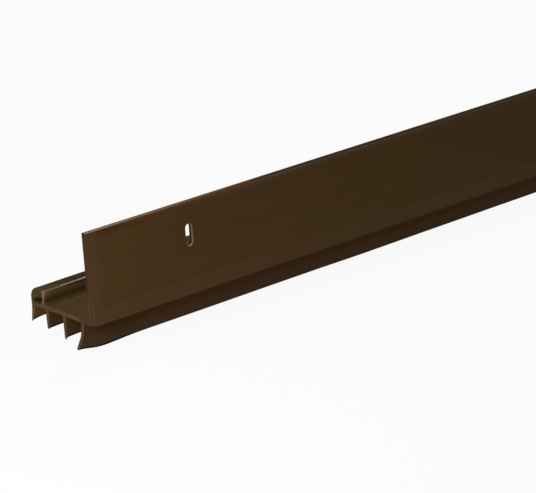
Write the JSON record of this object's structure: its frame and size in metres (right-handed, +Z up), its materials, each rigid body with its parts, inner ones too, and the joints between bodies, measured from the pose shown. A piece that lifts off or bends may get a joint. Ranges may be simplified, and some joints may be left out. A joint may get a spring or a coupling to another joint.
{
  "type": "door drip cap",
  "caption": "L-shaped vinyl door bottom seal: slotted face flange, web with hollow bulb, sealing blades and a curved drip lip.",
  "frame": {"origin": "on the flange's back face, which lies on the door, at the middle of the length and at the height of the slot centres", "axes": "+X along the strip, +Y from the flange towards the inside of the door, +Z up"},
  "size_m": [0.9144, 0.0474, 0.0586],
  "materials": {
    "vinyl": "satin brown vinyl"
  },
  "bodies": {
    "root": {"door_bottom": "vinyl"}
  },
  "joints": []
}
